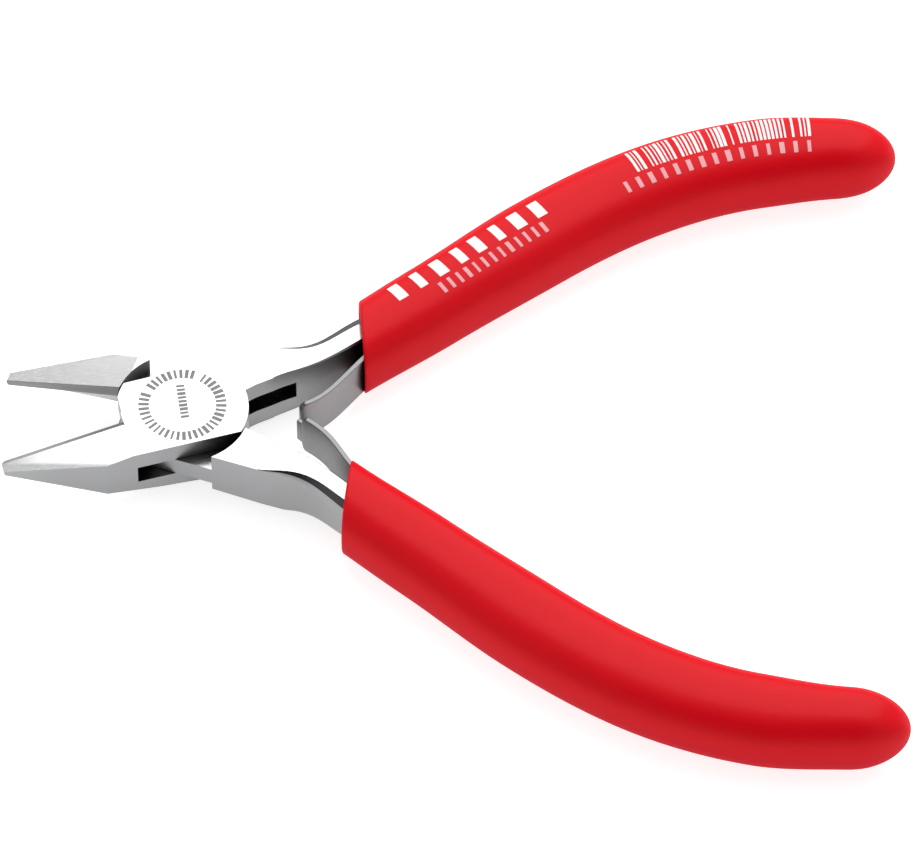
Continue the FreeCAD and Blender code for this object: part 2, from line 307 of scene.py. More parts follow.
class Nodes:
    """A node tree being wired: a thin layer over bpy's calls."""

    def __init__(self, tree: bpy.types.NodeTree) -> None:
        """Wrap a tree.

        Args:
            tree: a shader or geometry node tree.
        """
        self.tree = tree

    def add(self, kind: str, **settings: object) -> bpy.types.Node:
        """Add a node.

        Args:
            kind: its type name.
            settings: properties to set on it.

        Returns:
            The node.
        """
        node = self.tree.nodes.new(kind)
        for key, value in settings.items():
            setattr(node, key, value)
        return node

    def feed(self, node: bpy.types.Node, inputs: dict) -> bpy.types.Node:
        """Set or link a node's inputs.

        Args:
            node: the node.
            inputs: by the input's name or number, a value or an output socket.

        Returns:
            The same node.
        """
        for key, value in inputs.items():
            if isinstance(value, bpy.types.NodeSocket):
                self.tree.links.new(value, node.inputs[key])
            else:
                node.inputs[key].default_value = value
        return node

    def math(self, operation: str, a: object, b: object = 0.0, clamp: bool = False) -> bpy.types.NodeSocket:
        """One Math node.

        Args:
            operation: its operation.
            a: first value or socket.
            b: second value or socket.
            clamp: keep the result from 0 to 1.

        Returns:
            Its output.
        """
        node = self.add("ShaderNodeMath", operation=operation, use_clamp=clamp)
        return self.feed(node, {0: a, 1: b}).outputs[0]

    def ramp(self, value: bpy.types.NodeSocket, span: Span, result: Span = (0.0, 1.0),
             soft: bool = False) -> bpy.types.NodeSocket:
        """One Map Range node, clamped.

        Args:
            value: what it reads.
            span: the values that give the two ends of the result.
            result: those two ends.
            soft: ease in and out.

        Returns:
            Its output.
        """
        node = self.add("ShaderNodeMapRange", interpolation_type="SMOOTHSTEP" if soft else "LINEAR")
        self.feed(node, {"Value": value, "From Min": span[0], "From Max": span[1], "To Min": result[0],
                         "To Max": result[1]})
        return node.outputs[0]

    def mix(self, share: object, a: object, b: object, blend: str = "MIX") -> bpy.types.NodeSocket:
        """One colour Mix node.

        Args:
            share: how much of b.
            a: first colour or socket.
            b: second colour or socket.
            blend: how b is laid over a.

        Returns:
            Its output.
        """
        node = self.add("ShaderNodeMix", data_type="RGBA", blend_type=blend)
        return self.feed(node, {0: share, 6: a, 7: b}).outputs[2]

    def split(self, vector: bpy.types.NodeSocket) -> bpy.types.bpy_prop_collection:
        """The X, Y and Z outputs of a vector."""
        return self.feed(self.add("ShaderNodeSeparateXYZ"), {0: vector}).outputs

    def noise(self, vector: bpy.types.NodeSocket, scale: object,
              detail: float = 3.0) -> bpy.types.NodeSocket:
        """A Noise Texture's grey output.

        Args:
            vector: where it is read.
            scale: its scale, per metre.
            detail: its octaves.

        Returns:
            The output, from 0 to 1.
        """
        node = self.add("ShaderNodeTexNoise")
        return self.feed(node, {"Vector": vector, "Scale": scale, "Detail": detail}).outputs["Fac"]


def group(name: str, inputs: dict[str, tuple[str, float]], outputs: dict[str, str]) -> Nodes:
    """A new shader node group with named sockets.

    Args:
        name: the group's name.
        inputs: socket type and default by name.
        outputs: socket type by name.

    Returns:
        Its tree, with Group Input and Group Output nodes named "in" and "out".
    """
    tree = bpy.data.node_groups.new(name, "ShaderNodeTree")
    for label, (kind, default) in inputs.items():
        socket = tree.interface.new_socket(label, in_out="INPUT", socket_type=kind)
        if kind == "NodeSocketFloat":
            socket.default_value = default
    for label, kind in outputs.items():
        tree.interface.new_socket(label, in_out="OUTPUT", socket_type=kind)
    nodes = Nodes(tree)
    nodes.add("NodeGroupInput", name="in")
    nodes.add("NodeGroupOutput", name="out")
    return nodes


def grinding_group() -> bpy.types.ShaderNodeTree:
    """Fine parallel grinding lines with soft cloudy patches, shared by all the steels.

    Returns:
        The group, whose inputs are Vector, Line Scale and Patch Scale and whose outputs are Lines, Patches
        and Height, each about 0 to 1.
    """
    g = group("grinding_lines",
              {"Vector": ("NodeSocketVector", 0), "Line Scale": ("NodeSocketFloat", 4000),
               "Patch Scale": ("NodeSocketFloat", 120)},
              {"Lines": "NodeSocketFloat", "Patches": "NodeSocketFloat", "Height": "NodeSocketFloat"})
    given = g.tree.nodes["in"].outputs
    stretched = g.add("ShaderNodeMapping", vector_type="POINT")
    g.feed(stretched, {"Vector": given["Vector"], "Rotation": (0, 0, 0.5), "Scale": (0.06, 1.0, 1.0)})
    lines = g.noise(stretched.outputs[0], given["Line Scale"], 4.0)
    crossed = g.add("ShaderNodeMapping", vector_type="POINT")
    g.feed(crossed, {"Vector": given["Vector"], "Rotation": (0, 0, -0.35), "Scale": (0.10, 1.0, 1.0)})
    strays = g.noise(crossed.outputs[0], given["Line Scale"], 2.0)
    patches = g.noise(given["Vector"], given["Patch Scale"], 2.0)
    height = g.math("ADD", g.math("MULTIPLY", lines, 0.65), g.math("MULTIPLY", strays, 0.35))
    g.feed(g.tree.nodes["out"], {"Lines": lines, "Patches": patches, "Height": height})
    return g.tree


def mottle_group() -> bpy.types.ShaderNodeTree:
    """The faint unevenness of a dipped or printed skin.

    Returns:
        The group, whose inputs are Vector and Scale and whose outputs are Mask and Height, each about 0
        to 1.
    """
    g = group("skin_mottle", {"Vector": ("NodeSocketVector", 0), "Scale": ("NodeSocketFloat", 400)},
              {"Mask": "NodeSocketFloat", "Height": "NodeSocketFloat"})
    given = g.tree.nodes["in"].outputs
    broad = g.noise(given["Vector"], given["Scale"], 2.0)
    fine = g.noise(given["Vector"], g.math("MULTIPLY", given["Scale"], 6.0), 2.0)
    height = g.math("ADD", g.math("MULTIPLY", broad, 0.8), g.math("MULTIPLY", fine, 0.2))
    g.feed(g.tree.nodes["out"], {"Mask": broad, "Height": height})
    return g.tree


def start_material(name: str) -> tuple[Nodes, bpy.types.Node, bpy.types.NodeSocket]:
    """A material with only its Principled shader.

    Args:
        name: the material's name.

    Returns:
        Its tree, the shader, and the Object coordinate output.
    """
    material = bpy.data.materials.new(name)
    material.use_nodes = True
    nodes = Nodes(material.node_tree)
    shader = material.node_tree.nodes["Principled BSDF"]
    return nodes, shader, nodes.add("ShaderNodeTexCoord").outputs["Object"]


@dataclass(frozen=True)
class Steel:
    """Ground steel: smoother on the level ground faces and rougher on the filed sides; its lighter level
    faces and darker sides are partly painted shade, and the handles' slants carry a painted dark band.
    """

    name: str
    # flat and side: the colours of level and steep faces; the difference between them is painted light and
    # shade.
    flat: Colour = (0.46, 0.462, 0.465)
    side: Colour = (0.31, 0.312, 0.318)
    forged: Colour = (0.10, 0.10, 0.105)  # painted shade: a dark band on the handles' slanting faces
    flat_roughness: float = 0.24
    side_roughness: float = 0.36
    line_roughness: float = 0.22
    line_scale: float = 5200.0
    patch_scale: float = 150.0
    patch_tone: Span = (0.95, 1.03)
    bump: float = 0.10
    bump_depth: float = 0.00002
    ground_level: Span = (0.80, 0.975)  # how level a face is, from side to ground flat
    slant_level: tuple[Span, Span] = ((0.60, 0.84), (0.99, 0.955))  # the painted dark band starts and stops
    handle_x: Span = (0.006, 0.010)  # metres along X where the handles start
    grime_reach: float = 4.5  # mm: painted shade darkens what stands this close to other steel
    grime_span: Span = (0.10, 0.62)
    grime_tone: Span = (0.12, 1.0)

    def make(self, grinding: bpy.types.ShaderNodeTree) -> bpy.types.Material:
        """Build the material.

        Args:
            grinding: the grinding lines group.

        Returns:
            The material.
        """
        n, shader, where = start_material(self.name)
        marks = n.add("ShaderNodeGroup", node_tree=grinding)
        n.feed(marks, {"Vector": where, "Line Scale": self.line_scale, "Patch Scale": self.patch_scale})
        level = n.math("ABSOLUTE", n.split(n.add("ShaderNodeNewGeometry").outputs["Normal"])["Z"])
        # Painted shade, in part: level faces take the flat colour and steep sides the side colour; the same
        # mask gives the ground flats their own roughness.
        ground = n.ramp(level, self.ground_level, soft=True)
        colour = n.mix(ground, (*self.side, 1), (*self.flat, 1))
        # Painted shade: a dark band on the handles' slanting faces.
        start, stop = (n.ramp(level, span, soft=True) for span in self.slant_level)
        handle = n.ramp(n.split(where)["X"], self.handle_x)
        slant = n.math("MULTIPLY", n.math("MULTIPLY", start, stop), handle)
        skin = n.mix(slant, colour, (*self.forged, 1))
        tone = n.ramp(marks.outputs["Patches"], (0.0, 1.0), self.patch_tone)
        shade = n.mix(1.0, skin, tone, "MULTIPLY")
        # Painted shade: ambient occlusion darkens the colour in recesses, gaps and where the parts meet.
        near = n.feed(n.add("ShaderNodeAmbientOcclusion", samples=8), {"Distance": self.grime_reach * MM})
        painted_shade = n.ramp(near.outputs["AO"], self.grime_span, self.grime_tone)
        base = n.ramp(ground, (0.0, 1.0), (self.side_roughness, self.flat_roughness))
        uneven = n.math("MULTIPLY", n.math("SUBTRACT", marks.outputs["Lines"], 0.5), self.line_roughness)
        bump = n.add("ShaderNodeBump")
        n.feed(bump, {"Strength": self.bump, "Distance": self.bump_depth,
                      "Height": marks.outputs["Height"]})
        n.feed(shader, {"Base Color": n.mix(1.0, shade, painted_shade, "MULTIPLY"), "Metallic": 1.0,
                        "Roughness": n.math("ADD", base, uneven, clamp=True),
                        "Normal": bump.outputs[0]})
        return bpy.data.materials[self.name]


@dataclass(frozen=True)
class Skin:
    """A smooth skin of one colour: dipped vinyl, ink or an etched mark."""

    name: str
    colour: Colour
    deep: Colour
    roughness: float
    mottling: float = 0.16
    bump: float = 0.10
    bump_depth: float = 0.0001
    scale: float = 450.0
    specular: float = 0.5
    coat: float = 0.0
    coat_roughness: float = 0.32
    under: Colour | None = None  # painted shade: the colour where it faces down
    under_level: Span = (0.30, -0.45)

    def make(self, mottle: bpy.types.ShaderNodeTree) -> bpy.types.Material:
        """Build the material.

        Args:
            mottle: the mottling group.

        Returns:
            The material.
        """
        n, shader, where = start_material(self.name)
        skin = n.add("ShaderNodeGroup", node_tree=mottle)
        n.feed(skin, {"Vector": where, "Scale": self.scale})
        colour = n.mix(skin.outputs["Mask"], (*self.deep, 1), (*self.colour, 1))
        # Painted shade: faces turned down take the darker under colour.
        if self.under:
            facing = n.split(n.add("ShaderNodeNewGeometry").outputs["Normal"])["Z"]
            colour = n.mix(n.ramp(facing, self.under_level, soft=True), colour, (*self.under, 1))
        uneven = n.math("MULTIPLY", n.math("SUBTRACT", skin.outputs["Mask"], 0.5), self.mottling)
        bump = n.add("ShaderNodeBump")
        n.feed(bump, {"Strength": self.bump, "Distance": self.bump_depth,
                      "Height": skin.outputs["Height"]})
        n.feed(shader, {"Base Color": colour, "Normal": bump.outputs[0],
                        "Roughness": n.math("ADD", uneven, self.roughness, clamp=True),
                        "Specular IOR Level": self.specular, "Coat Weight": self.coat,
                        "Coat Roughness": self.coat_roughness})
        return bpy.data.materials[self.name]


@dataclass
class Finishes:
    """Every material of the tool, made once."""

    steel: bpy.types.Material = field(init=False)
    spring: bpy.types.Material = field(init=False)
    vinyl: bpy.types.Material = field(init=False)
    ink: bpy.types.Material = field(init=False)
    thin_ink: bpy.types.Material = field(init=False)
    etch: bpy.types.Material = field(init=False)

    def __post_init__(self) -> None:
        """Build the shared groups and the materials."""
        grinding, mottle = grinding_group(), mottle_group()
        self.steel = Steel("ground_tool_steel").make(grinding)
        self.spring = Steel("spring_strip", flat=(0.16, 0.16, 0.165), side=(0.25, 0.246, 0.25),
                            flat_roughness=0.3, side_roughness=0.42, line_scale=3600.0).make(grinding)
        self.vinyl = Skin("dipped_red_vinyl", (0.70, 0.004, 0.011), (0.66, 0.003, 0.010), 0.5,
                          specular=0.0, coat=0.2, under=(0.50, 0.002, 0.012)).make(mottle)
        self.ink = Skin("white_pad_print", (0.93, 0.90, 0.90), (0.86, 0.78, 0.78), 0.55,
                        scale=900.0).make(mottle)
        self.thin_ink = Skin("thin_pad_print", (0.82, 0.42, 0.45), (0.74, 0.30, 0.33), 0.55,
                             scale=900.0).make(mottle)
        self.etch = Skin("etched_grey", (0.29, 0.29, 0.30), (0.20, 0.20, 0.21), 0.6,
                         scale=2200.0, specular=0.2).make(mottle)


# ---------------------------------------------------------------------------------------------- pieces


@dataclass
class Forgings:
    """The two steel halves and the rivet between them."""

    rounding: float = 0.16
    crisp: float = 17.0  # degrees: shading doesn't run over edges sharper than this
    weld: float = 0.002
    level: float = 1.0  # degrees: faces nearer than this to one plane are joined
    rivet_r: float = 2.0
    rivet_edge: float = 0.04
    rivet_play: float = 0.01

    def half(self, side: Side, finishes: Finishes, frame: dict) -> bpy.types.Object:
        """One half: the frame's own shape, welded, with its sharp edges broken.

        Args:
            side: which half.
            finishes: the materials.
            frame: the loaded frame.

        Returns:
            The piece.
        """
        node = f"{side.body}_half"
        mesh = frame["nodes"][node].data.copy()
        bm = bmesh.new()
        bm.from_mesh(mesh)
        bmesh.ops.remove_doubles(bm, verts=bm.verts, dist=self.weld * MM)
        bmesh.ops.dissolve_limit(bm, angle_limit=math.radians(self.level), verts=bm.verts, edges=bm.edges)
        bm.to_mesh(mesh)
        bm.free()
        obj = bpy.data.objects.new(f"{node}_forging", mesh)
        bpy.context.collection.objects.link(obj)
        round_edges(obj, self.rounding)
        flatten(obj, self.crisp)
        dress(obj, finishes.steel)
        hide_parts(node)
        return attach(obj, side.body)

    def rivet(self, finishes: Finishes) -> bpy.types.Object:
        """The pivot rivet, ground flush, with a hairline left where its ends meet the cheeks.

        Args:
            finishes: the materials.

        Returns:
            The piece.
        """
        e, r = self.rivet_edge, self.rivet_r
        lower = [(0.0, 0.0), (r - 3 * e, 0.0), (r - e, 0.0), (r - e * 0.3, e * 0.3),
                 (r - self.rivet_play, e)]
        profile = lower + [(radius, JOINT_T - height) for radius, height in reversed(lower)]
        obj = lathe("pivot_rivet_flush", profile, Vector((0, 0, 0)), Vector((0, 0, 1)), 64)
        flatten(obj)
        dress(obj, finishes.steel)
        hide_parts("pivot_rivet")
        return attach(obj, "outer")


def lathe(name: str, profile: Sequence[tuple[float, float]], base: Vector, axis: Vector,
          count: int) -> bpy.types.Object:
    """Turn a profile about an axis.

    Args:
        name: the object's name.
        profile: radius and height in mm, both ends on the axis.
        base: the axis's start, in metres.
        axis: its direction.
        count: steps round.

    Returns:
        The closed object.
    """
    turn = axis.normalized().to_track_quat("Z", "Y").to_matrix()
    verts, faces = [], []
    inner = profile[1:-1]
    for r, h in inner:
        for i in range(count):
            t = 2 * math.pi * i / count
            verts.append(base + turn @ Vector((r * math.cos(t), r * math.sin(t), h)) * MM)
    ends = [len(verts), len(verts) + 1]
    verts += [base + turn @ Vector((0, 0, profile[k][1])) * MM for k in (0, -1)]
    for i in range(count):
        j = (i + 1) % count
        for k in range(len(inner) - 1):
            a, b = k * count, (k + 1) * count
            faces.append((a + i, a + j, b + j, b + i))
        faces.append((ends[0], j, i))
        last = (len(inner) - 1) * count
        faces.append((ends[1], last + i, last + j))
    return new_mesh(name, verts, faces)


@dataclass
class Sleeve:
    """One dipped grip: a squared tube along the handle, with a slanted open mouth and a round end."""

    side: Side
    mouth_x: float
    end_r: float
    # Centreline stations: x, y, half width.
    stations: tuple[tuple[float, float, float], ...] = (
        (14.0, 1.6, 4.2), (20.0, 3.93, 4.4), (32.0, 8.31, 4.75), (46.0, 13.46, 5.2),
        (60.0, 17.06, 5.2), (74.0, 17.3, 5.07), (85.0, 14.8, 4.3), (92.0, 12.5, 4.0))
    half_t: float = 4.33
    skin: float = 0.05  # how far the surface stays inside the frame's solid
    power: float = 2.6
    bore_power: float = 4.0
    cap: float = 7.0
    wall: float = 1.3
    lip_wall: float = 0.60  # the wall is this thin at lip_x and full at full_wall_x
    lip_x: float = 21.0
    full_wall_x: float = 30.0
    mouth_y: float = 4.6
    mouth_tilt: float = math.tan(math.radians(12.3))
    mouth_span: Span = (0.5, 24.0)  # the mouth lies between these lengths along the centreline
    flat_x: tuple[float, ...] = (12.0, 20.1, 21.4, 40.0)
    flat_y: tuple[float, ...] = (-4.2, -0.52, 0.06, 0.06)
    flat_wall: float = 0.35
    lip_round: float = 0.38
    around: int = 72
    along: int = 120
    cap_rings: int = 18

    def __post_init__(self) -> None:
        """Fit the centreline."""
        table = np.array(self.stations)
        knots = chord(table[:, :2])
        self.centre = spline(knots, table[:, :2])
        self.knots = knots
        lengths = np.linspace(0, knots[-1], 4000)
        reach = np.linalg.norm(self.centre(lengths), axis=1)
        self.end = float(lengths[np.argmax(reach > self.end_r)])
        self.cap_start = self.end - self.cap

    def half_width(self, x: Array) -> Array:
        """The half width where the centreline has this x."""
        table = np.array(self.stations)
        i = np.clip(np.searchsorted(table[:, 0], x) - 1, 0, len(table) - 2)
        t = np.clip((x - table[i, 0]) / (table[i + 1, 0] - table[i, 0]), 0, 1)
        return table[i, 2] + (table[i + 1, 2] - table[i, 2]) * t * t * (3 - 2 * t) - self.skin

    def surface(self, s: Array, angle: Array, bore: bool) -> Array:
        """Points of the outside or of the bore.

        Args:
            s: length along the centreline, one value for each point.
            angle: angle round the section, 0 on the outer side and pi on the side of the leaf.
            bore: the inside rather than the outside.

        Returns:
            Rows of x, y, z in the member frame.
        """
        step = 0.05
        point = self.centre(s)
        ahead = self.centre(s + step) - self.centre(s - step)
        ahead /= np.linalg.norm(ahead, axis=1)[:, None]
        normal = np.column_stack([-ahead[:, 1], ahead[:, 0]])
        a = self.half_width(point[:, 0])
        start, length = (self.cap_start - self.wall, self.cap) if bore else (self.cap_start, self.cap)
        shrink = np.sqrt(np.clip(1 - (np.clip(s - start, 0, None) / length) ** 2, 0, 1))
        if bore:
            near = np.clip((point[:, 0] - self.lip_x) / (self.full_wall_x - self.lip_x), 0, 1)
            inner = a - self.lip_wall - (self.wall - self.lip_wall) * near
            shift, a = (a - self.wall - inner) / 2, (a - self.wall + inner) / 2
            u, w = squared(angle, self.bore_power)
            b = self.half_t - self.wall
        else:
            shift = 0.0
            u, w = squared(angle, self.power)
            b = self.half_t
        across = (u * a + shift) * shrink
        plan = point + normal * across[:, None]
        lowest = self.meeting(plan[:, 0]) + (self.flat_wall if bore else 0.0)
        plan[:, 1] = np.maximum(plan[:, 1], lowest)
        return np.column_stack([plan, MID + w * b * shrink])

    def meeting(self, x: Array) -> Array:
        """The flat that keeps the two mouths apart when the handles close: the lowest y at each x."""
        return np.where(x < self.flat_x[-1], np.interp(x, self.flat_x, self.flat_y), -math.inf)

    def mouth(self, angle: Array, bore: bool) -> Array:
        """Where each line along the sleeve meets the slanted mouth.

        Args:
            angle: the lines' angles.
            bore: of the inside rather than the outside.

        Returns:
            Lengths along the centreline.
        """
        low, high = (np.full(len(angle), length) for length in self.mouth_span)
        for _ in range(40):
            middle = (low + high) / 2
            p = self.surface(middle, angle, bore)
            before = p[:, 0] < self.mouth_x + (p[:, 1] - self.mouth_y) * self.mouth_tilt
            low, high = np.where(before, middle, low), np.where(before, high, middle)
        return (low + high) / 2

    def shell(self, bore: bool) -> tuple[Array, int]:
        """Rings of points from the mouth to the closed end.

        Args:
            bore: of the inside rather than the outside.

        Returns:
            The points, ring after ring, and the number of rings.
        """
        angle = np.linspace(0, 2 * math.pi, self.around, endpoint=False)
        first = self.mouth(angle, bore)
        start = self.cap_start - (self.wall if bore else 0.0)
        rings = [first + (start - first) * i / self.along for i in range(self.along)]
        rings += [np.full(self.around, start + self.cap * math.sin(math.pi / 2 * i / self.cap_rings))
                  for i in range(self.cap_rings)]
        points = [self.surface(s, angle, bore) for s in rings]
        return np.concatenate(points), len(rings)

    def build(self, finishes: Finishes) -> bpy.types.Object:
        """Make the sleeve.

        Args:
            finishes: the materials.

        Returns:
            The piece, in place and riding on its half.
        """
        outside, rings = self.shell(False)
        inside, _ = self.shell(True)
        n = self.around
        verts = list(outside) + list(inside)
        tips = len(verts), len(verts) + 1
        verts += [self.surface(np.array([self.end]), np.array([0.0]), False)[0],
                  self.surface(np.array([self.end - self.wall]), np.array([0.0]), True)[0]]
        base = len(outside)
        faces = []
        for i in range(n):
            j = (i + 1) % n
            for k in range(rings - 1):
                a, b = k * n, (k + 1) * n
                faces.append((a + i, a + j, b + j, b + i))
                faces.append((base + a + j, base + a + i, base + b + i, base + b + j))
            last = (rings - 1) * n
            faces.append((last + i, last + j, tips[0]))
            faces.append((base + last + j, base + last + i, tips[1]))
            faces.append((j, i, base + i, base + j))
        obj = new_mesh(f"{self.side.prefix}_sleeve", self.side.place(np.array(verts)), faces)
        round_edges(obj, self.lip_round, 50.0)
        smooth(obj, 60.0)
        dress(obj, finishes.vinyl)
        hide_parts(f"{self.side.prefix}_grip")
        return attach(obj, self.side.body)


@dataclass
class LeafSpring:
    """One strip of spring steel on edge, riveted to the tang inside the sleeve, with its rivet."""

    side: Side
    points: tuple[tuple[float, float], ...]
    lip: tuple[float, float] | None = None
    thickness: float = 0.6
    width: float = 5.8
    lip_width: float = 3.4
    edge: float = 0.09
    tail: tuple[tuple[float, float], ...] = (
        (25.12, 3.42), (27.00, 4.60), (29.00, 5.60), (31.00, 6.38), (33.00, 7.10))
    tang_slope: float = math.radians(19.8)
    bend_from: tuple[float, float] = (27.5, 4.9)
    bend_to: tuple[float, float] = (20.5, 0.6)
    steps: int = 90
    lip_steps: int = 8
    corner: float = 0.8
    head_r: float = 1.4
    head_t: float = 0.5
    shank_r: float = 0.8
    shank_length: float = 2.35

    def line(self) -> Array:
        """The strip's middle line in plan, from its tip to its tail's end."""
        knots = np.array(self.points + self.tail)
        at = chord(knots)
        line = spline(at, knots)(np.linspace(0, at[-1], self.steps))
        if self.lip is None:
            return line
        start, end = line[0], np.array(self.lip)
        bend = [end + (start - end) * (i / self.lip_steps) for i in range(self.lip_steps)]
        return np.concatenate([bend, line])

    def half_heights(self, line: Array) -> Array:
        """Half the strip's height along its line: it narrows to the lip, or its tip's corners are round."""
        full, run = self.width / 2, chord(line)
        if self.lip is not None:
            narrow = self.lip_width / 2
            shoulder = run[self.lip_steps]
            return narrow + (full - narrow) * np.clip((run - shoulder * 0.75) / 0.35, 0, 1) ** 0.5
        inside = np.clip(1 - run / self.corner, 0, 1)
        return full - self.corner * (1 - np.sqrt(1 - inside**2))

    def strip(self, finishes: Finishes) -> bpy.types.Object:
        """Make the strip.

        Args:
            finishes: the materials.

        Returns:
            The piece.
        """
        line = self.line()
        ahead = np.gradient(line, axis=0)
        ahead /= np.linalg.norm(ahead, axis=1)[:, None]
        aside = np.column_stack([-ahead[:, 1], ahead[:, 0]]) * self.thickness / 2
        heights = self.half_heights(line)
        verts = []
        for p, n, h in zip(line, aside, heights):
            verts += [(*(p + n), MID + h), (*(p - n), MID + h), (*(p - n), MID - h), (*(p + n), MID - h)]
        faces = [(0, 1, 2, 3)]
        for k in range(len(line) - 1):
            a, b = 4 * k, 4 * (k + 1)
            faces += [(a + i, b + i, b + (i + 1) % 4, a + (i + 1) % 4) for i in range(4)]
        last = 4 * (len(line) - 1)
        faces.append((last + 3, last + 2, last + 1, last))
        name = f"{self.side.prefix}_spring"
        obj = new_mesh(f"{name}_strip", self.side.place(np.array(verts)), faces)
        round_edges(obj, self.edge, 50.0)
        smooth(obj, 40.0)
        dress(obj, finishes.spring)
        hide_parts(f"{name}_blade", f"{name}_tail")
        start, end = (self.side.place(np.array([[*p, MID]]))[0] for p in (self.bend_from, self.bend_to))
        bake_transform(obj)
        return obj

    def rivet(self, finishes: Finishes) -> bpy.types.Object:
        """Make the domed rivet that holds the tail.

        Args:
            finishes: the materials.

        Returns:
            The piece.
        """
        angles = np.linspace(math.pi / 2, 0, 9)
        dome = [(self.head_r * math.cos(t), -self.head_t * math.sin(t)) for t in angles[1:]]
        shank = [(self.shank_r, 0.0), (self.shank_r, self.shank_length), (0.0, self.shank_length)]
        profile = [(0.0, -self.head_t)] + dome + shank
        outward = np.array([-math.sin(self.tang_slope), math.cos(self.tang_slope), 0.0])
        seat = np.array([*self.tail[3], MID]) - outward * self.thickness / 2
        ends = self.side.place(np.array([seat, seat + outward]))
        name = f"{self.side.prefix}_spring_rivet"
        obj = lathe(f"{name}_domed", profile, Vector(ends[0]), Vector(ends[1] - ends[0]), 32)
        smooth(obj, 40.0)
        dress(obj, finishes.spring)
        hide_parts(name)
        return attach(obj, self.side.body)


# ---------------------------------------------------------------------------- marks, by geometry nodes


def geometry_tree(name: str, inputs: dict[str, str]) -> Nodes:
    """A new geometry node tree with a Geometry input and output and further named inputs.

    Args:
        name: the tree's name.
        inputs: socket type by name.

    Returns:
        The tree, with Group Input and Group Output nodes named "in" and "out".
    """
    tree = bpy.data.node_groups.new(name, "GeometryNodeTree")
    tree.interface.new_socket("Geometry", in_out="INPUT", socket_type="NodeSocketGeometry")
    for label, kind in inputs.items():
        tree.interface.new_socket(label, in_out="INPUT", socket_type=kind)
    tree.interface.new_socket("Geometry", in_out="OUTPUT", socket_type="NodeSocketGeometry")
    nodes = Nodes(tree)
    nodes.add("NodeGroupInput", name="in")
    nodes.add("NodeGroupOutput", name="out")
    return nodes


def grow(name: str, tree: bpy.types.GeometryNodeTree, start: bpy.types.Mesh,
         values: dict) -> bpy.types.Object:
    """Run a geometry node tree on a mesh and keep the result as a plain mesh.

    Args:
        name: the new object's name.
        tree: the tree.
        start: the mesh it starts from.
        values: its inputs by name.

    Returns:
        The object, with no modifier left.
    """
    obj = bpy.data.objects.new(name, start)
    bpy.context.collection.objects.link(obj)
    modifier = obj.modifiers.new("grow", "NODES")
    modifier.node_group = tree
    sockets = {item.name: item.identifier for item in tree.interface.items_tree
               if item.item_type == "SOCKET" and item.in_out == "INPUT"}
    for label, value in values.items():
        modifier[sockets[label]] = value
    return apply_modifiers(obj)


def set_blocks(g: Nodes, points: bpy.types.NodeSocket, heading: bpy.types.NodeSocket, block: dict,
               size: dict, spread_axis: str) -> bpy.types.Node:
    """Set a box on each point, turned about Z to a heading; some are left out and their widths differ.

    Args:
        g: a tree with the inputs Spread, Keep and Seed.
        points: where they stand.
        heading: what each box's X follows.
        block: the unit box's own settings.
        size: its size by axis.
        spread_axis: the axis whose size differs.

    Returns:
        The Instance on Points node.
    """
    given = g.tree.nodes["in"].outputs
    cube = g.feed(g.add("GeometryNodeMeshCube"), {"Size": (1.0, 1.0, 1.0), **block})
    vary = g.add("FunctionNodeRandomValue", data_type="FLOAT")
    g.feed(vary, {"Min": g.math("SUBTRACT", 1.0, given["Spread"]),
                  "Max": g.math("ADD", 1.0, given["Spread"]), "Seed": given["Seed"]})
    width = g.math("MULTIPLY", next(o for o in vary.outputs if o.type == "VALUE"), size[spread_axis])
    scale = g.feed(g.add("ShaderNodeCombineXYZ"), {**size, spread_axis: width})
    kept = g.add("FunctionNodeRandomValue", data_type="BOOLEAN")
    g.feed(kept, {"Probability": given["Keep"], "Seed": g.math("ADD", given["Seed"], given["Keep Shift"])})
    turn = g.add("FunctionNodeAlignRotationToVector", axis="X", pivot_axis="Z")
    g.feed(turn, {"Vector": heading})
    return g.feed(g.add("GeometryNodeInstanceOnPoints"), {
        "Points": points, "Instance": cube.outputs["Mesh"],
        "Selection": next(o for o in kept.outputs if o.type == "BOOLEAN"),
        "Rotation": turn.outputs[0], "Scale": scale.outputs[0]})


def paint(g: Nodes, geometry: bpy.types.NodeSocket) -> bpy.types.GeometryNodeTree:
    """Give the geometry the tree's Finish and send it out.

    Args:
        g: the tree.
        geometry: what it has made.

    Returns:
        The tree.
    """
    painted = g.feed(g.add("GeometryNodeSetMaterial"), {
        "Geometry": geometry, "Material": g.tree.nodes["in"].outputs["Finish"]})
    g.feed(g.tree.nodes["out"], {0: painted.outputs[0]})
    return g.tree


